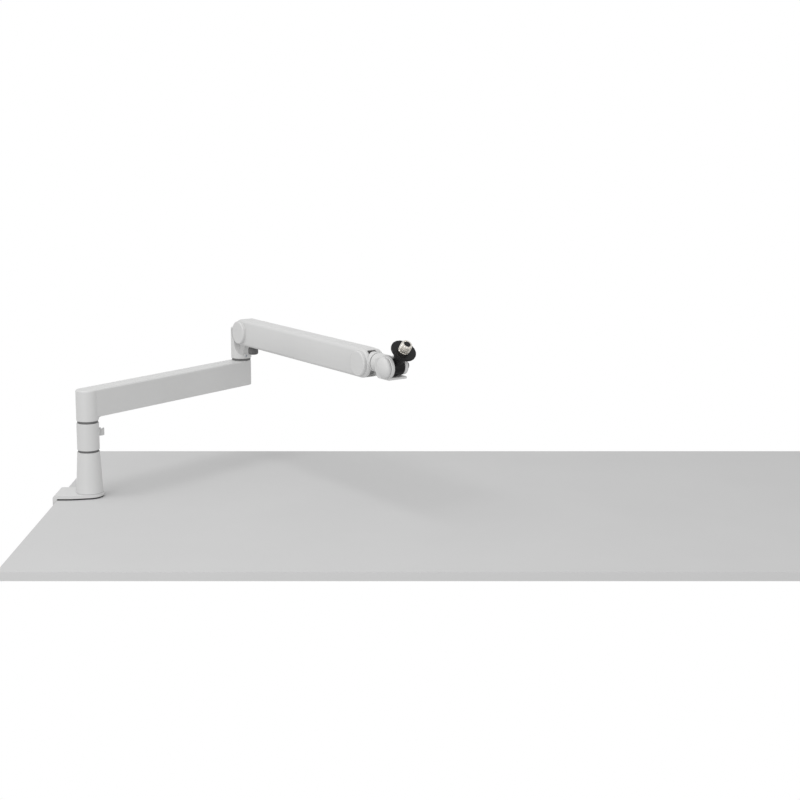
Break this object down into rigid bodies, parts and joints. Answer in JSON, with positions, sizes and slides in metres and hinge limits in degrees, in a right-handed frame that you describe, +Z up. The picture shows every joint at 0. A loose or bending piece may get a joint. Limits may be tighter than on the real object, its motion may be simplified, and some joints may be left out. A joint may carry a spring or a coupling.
{
  "type": "microphone boom arm",
  "caption": "Low-profile desk-clamp microphone boom arm with a riser, covered cable channels, a swivelling elbow and a tilting threaded head.",
  "frame": {"origin": "on the desk top's plane, under the column's axis", "axes": "+Z up, +X from the desk's edge over the desk, +Y along the edge; the lower arm goes back at 52 degrees from +X and the upper arm comes forward"},
  "size_m": [0.5197, 0.4008, 0.3695],
  "materials": {
    "white_steel": "satin white powder coat",
    "white_aluminium": "satin white powder coat",
    "black_metal": "satin black",
    "black_plastic": "matte",
    "black_rubber": "matte",
    "steel": "satin",
    "brass": "satin"
  },
  "bodies": {
    "clamp_base": {"clamp_frame": "white_steel", "top_pad": "black_rubber", "screw_bush": "steel", "base_column": "white_steel", "column_screws": "steel", "column_bush": "black_plastic"},
    "clamp_carriage": {"pressure_disc": "black_metal", "disc_pad": "black_rubber"},
    "clamp_screw": {"clamp_screw": "steel", "hand_knob": "black_plastic"},
    "riser": {"riser_spigot": "steel", "riser_tube": "white_steel", "riser_bush": "black_plastic", "cable_clip": "white_steel", "clip_screw": "steel"},
    "lower_arm": {"lower_beam": "white_aluminium", "arm_spindle": "steel", "elbow_bush": "black_plastic", "lower_magnets": "steel"},
    "lower_cover": {"lower_cover": "white_aluminium", "lower_cover_magnets": "steel"},
    "elbow": {"elbow_swivel": "white_aluminium", "elbow_spindle": "steel", "retaining_washer": "steel", "retaining_screw": "steel", "elbow_set_screw": "black_metal"},
    "upper_arm": {"upper_beam": "white_aluminium", "elbow_bolt": "steel", "elbow_spring_washer": "steel", "elbow_nut": "steel", "elbow_friction_washers": "black_plastic", "elbow_cap_front": "white_aluminium", "elbow_cap_rear": "white_aluminium", "brake_wedge": "brass", "upper_magnets": "steel", "head_bolt": "steel", "head_spring_washer": "steel", "head_nut": "steel", "head_friction_washers": "black_plastic", "head_cap_front": "white_aluminium", "head_cap_rear": "white_aluminium"},
    "upper_cover": {"upper_cover": "white_aluminium", "upper_cover_magnets": "steel"},
    "tension_knob": {"tension_knob": "black_plastic"},
    "wrist": {"wrist": "white_aluminium", "roll_washer": "black_plastic", "roll_bolt": "steel"},
    "fork": {"fork": "white_aluminium", "fork_nut": "black_metal"},
    "tilt_knob": {"domed_knob": "white_aluminium", "fork_bolt": "steel"},
    "mic_lug": {"mic_lug": "black_metal", "thread_adapter": "steel"},
    "lock_ring": {"lock_ring": "black_metal"}
  },
  "joints": [
    {"name": "clamp_travel", "type": "slide", "parent": "clamp_base", "child": "clamp_carriage", "axis": [0, 0, 1], "range_m": [-0.03, 0.018]},
    {"name": "screw_turn", "type": "hinge", "parent": "clamp_carriage", "child": "clamp_screw", "pos_m": [-0.0165, 0, -0.1], "axis": [0, 0, 1], "range_deg": [-5400, 3240]},
    {"name": "riser_turn", "type": "hinge", "parent": "clamp_base", "child": "riser", "pos_m": [0, 0, 0.068], "axis": [0, 0, 1], "continuous": true},
    {"name": "arm_turn", "type": "hinge", "parent": "riser", "child": "lower_arm", "pos_m": [0, 0, 0.1105], "axis": [0, 0, 1], "continuous": true},
    {"name": "lower_cover_pull", "type": "slide", "parent": "lower_arm", "child": "lower_cover", "axis": [0, 0, -1], "range_m": [0, 0.012]},
    {"name": "elbow_turn", "type": "hinge", "parent": "lower_arm", "child": "elbow", "pos_m": [0.19578, 0.25059, 0.159], "axis": [0, 0, 1], "range_deg": [-43, 257]},
    {"name": "elbow_tilt", "type": "hinge", "parent": "elbow", "child": "upper_arm", "pos_m": [0.20783, 0.23339, 0.2049], "axis": [-0.8192, -0.5736, 0], "range_deg": [-15, 55]},
    {"name": "upper_cover_pull", "type": "slide", "parent": "upper_arm", "child": "upper_cover", "axis": [0, 0, -1], "range_m": [0, 0.012]},
    {"name": "tension_turn", "type": "hinge", "parent": "upper_arm", "child": "tension_knob", "pos_m": [0.21815, 0.21864, 0.178], "axis": [0, 0, 1], "range_deg": [-360, 360]},
    {"name": "head_tilt", "type": "hinge", "parent": "upper_arm", "child": "wrist", "pos_m": [0.40399, -0.04677, 0.2049], "axis": [-0.8192, -0.5736, 0], "range_deg": [-40, 40]},
    {"name": "head_roll", "type": "hinge", "parent": "wrist", "child": "fork", "pos_m": [0.41947, -0.06888, 0.2086], "axis": [0.5736, -0.8192, 0], "range_deg": [-90, 90]},
    {"name": "knob_turn", "type": "hinge", "parent": "fork", "child": "tilt_knob", "pos_m": [0.44242, -0.10165, 0.2086], "axis": [0.8192, 0.5736, 0], "range_deg": [-180, 180]},
    {"name": "mic_tilt", "type": "hinge", "parent": "fork", "child": "mic_lug", "pos_m": [0.44242, -0.10165, 0.2086], "axis": [0.8192, 0.5736, 0], "range_deg": [-60, 60]},
    {"name": "lock_ring_turn", "type": "hinge", "parent": "mic_lug", "child": "lock_ring", "pos_m": [0.45348, -0.11744, 0.23158], "axis": [0.3687, -0.5265, 0.766], "continuous": true}
  ],
  "couplings": [
    {"joint": "screw_turn", "follows": "clamp_travel", "rad_per_m": 3141.5}
  ]
}
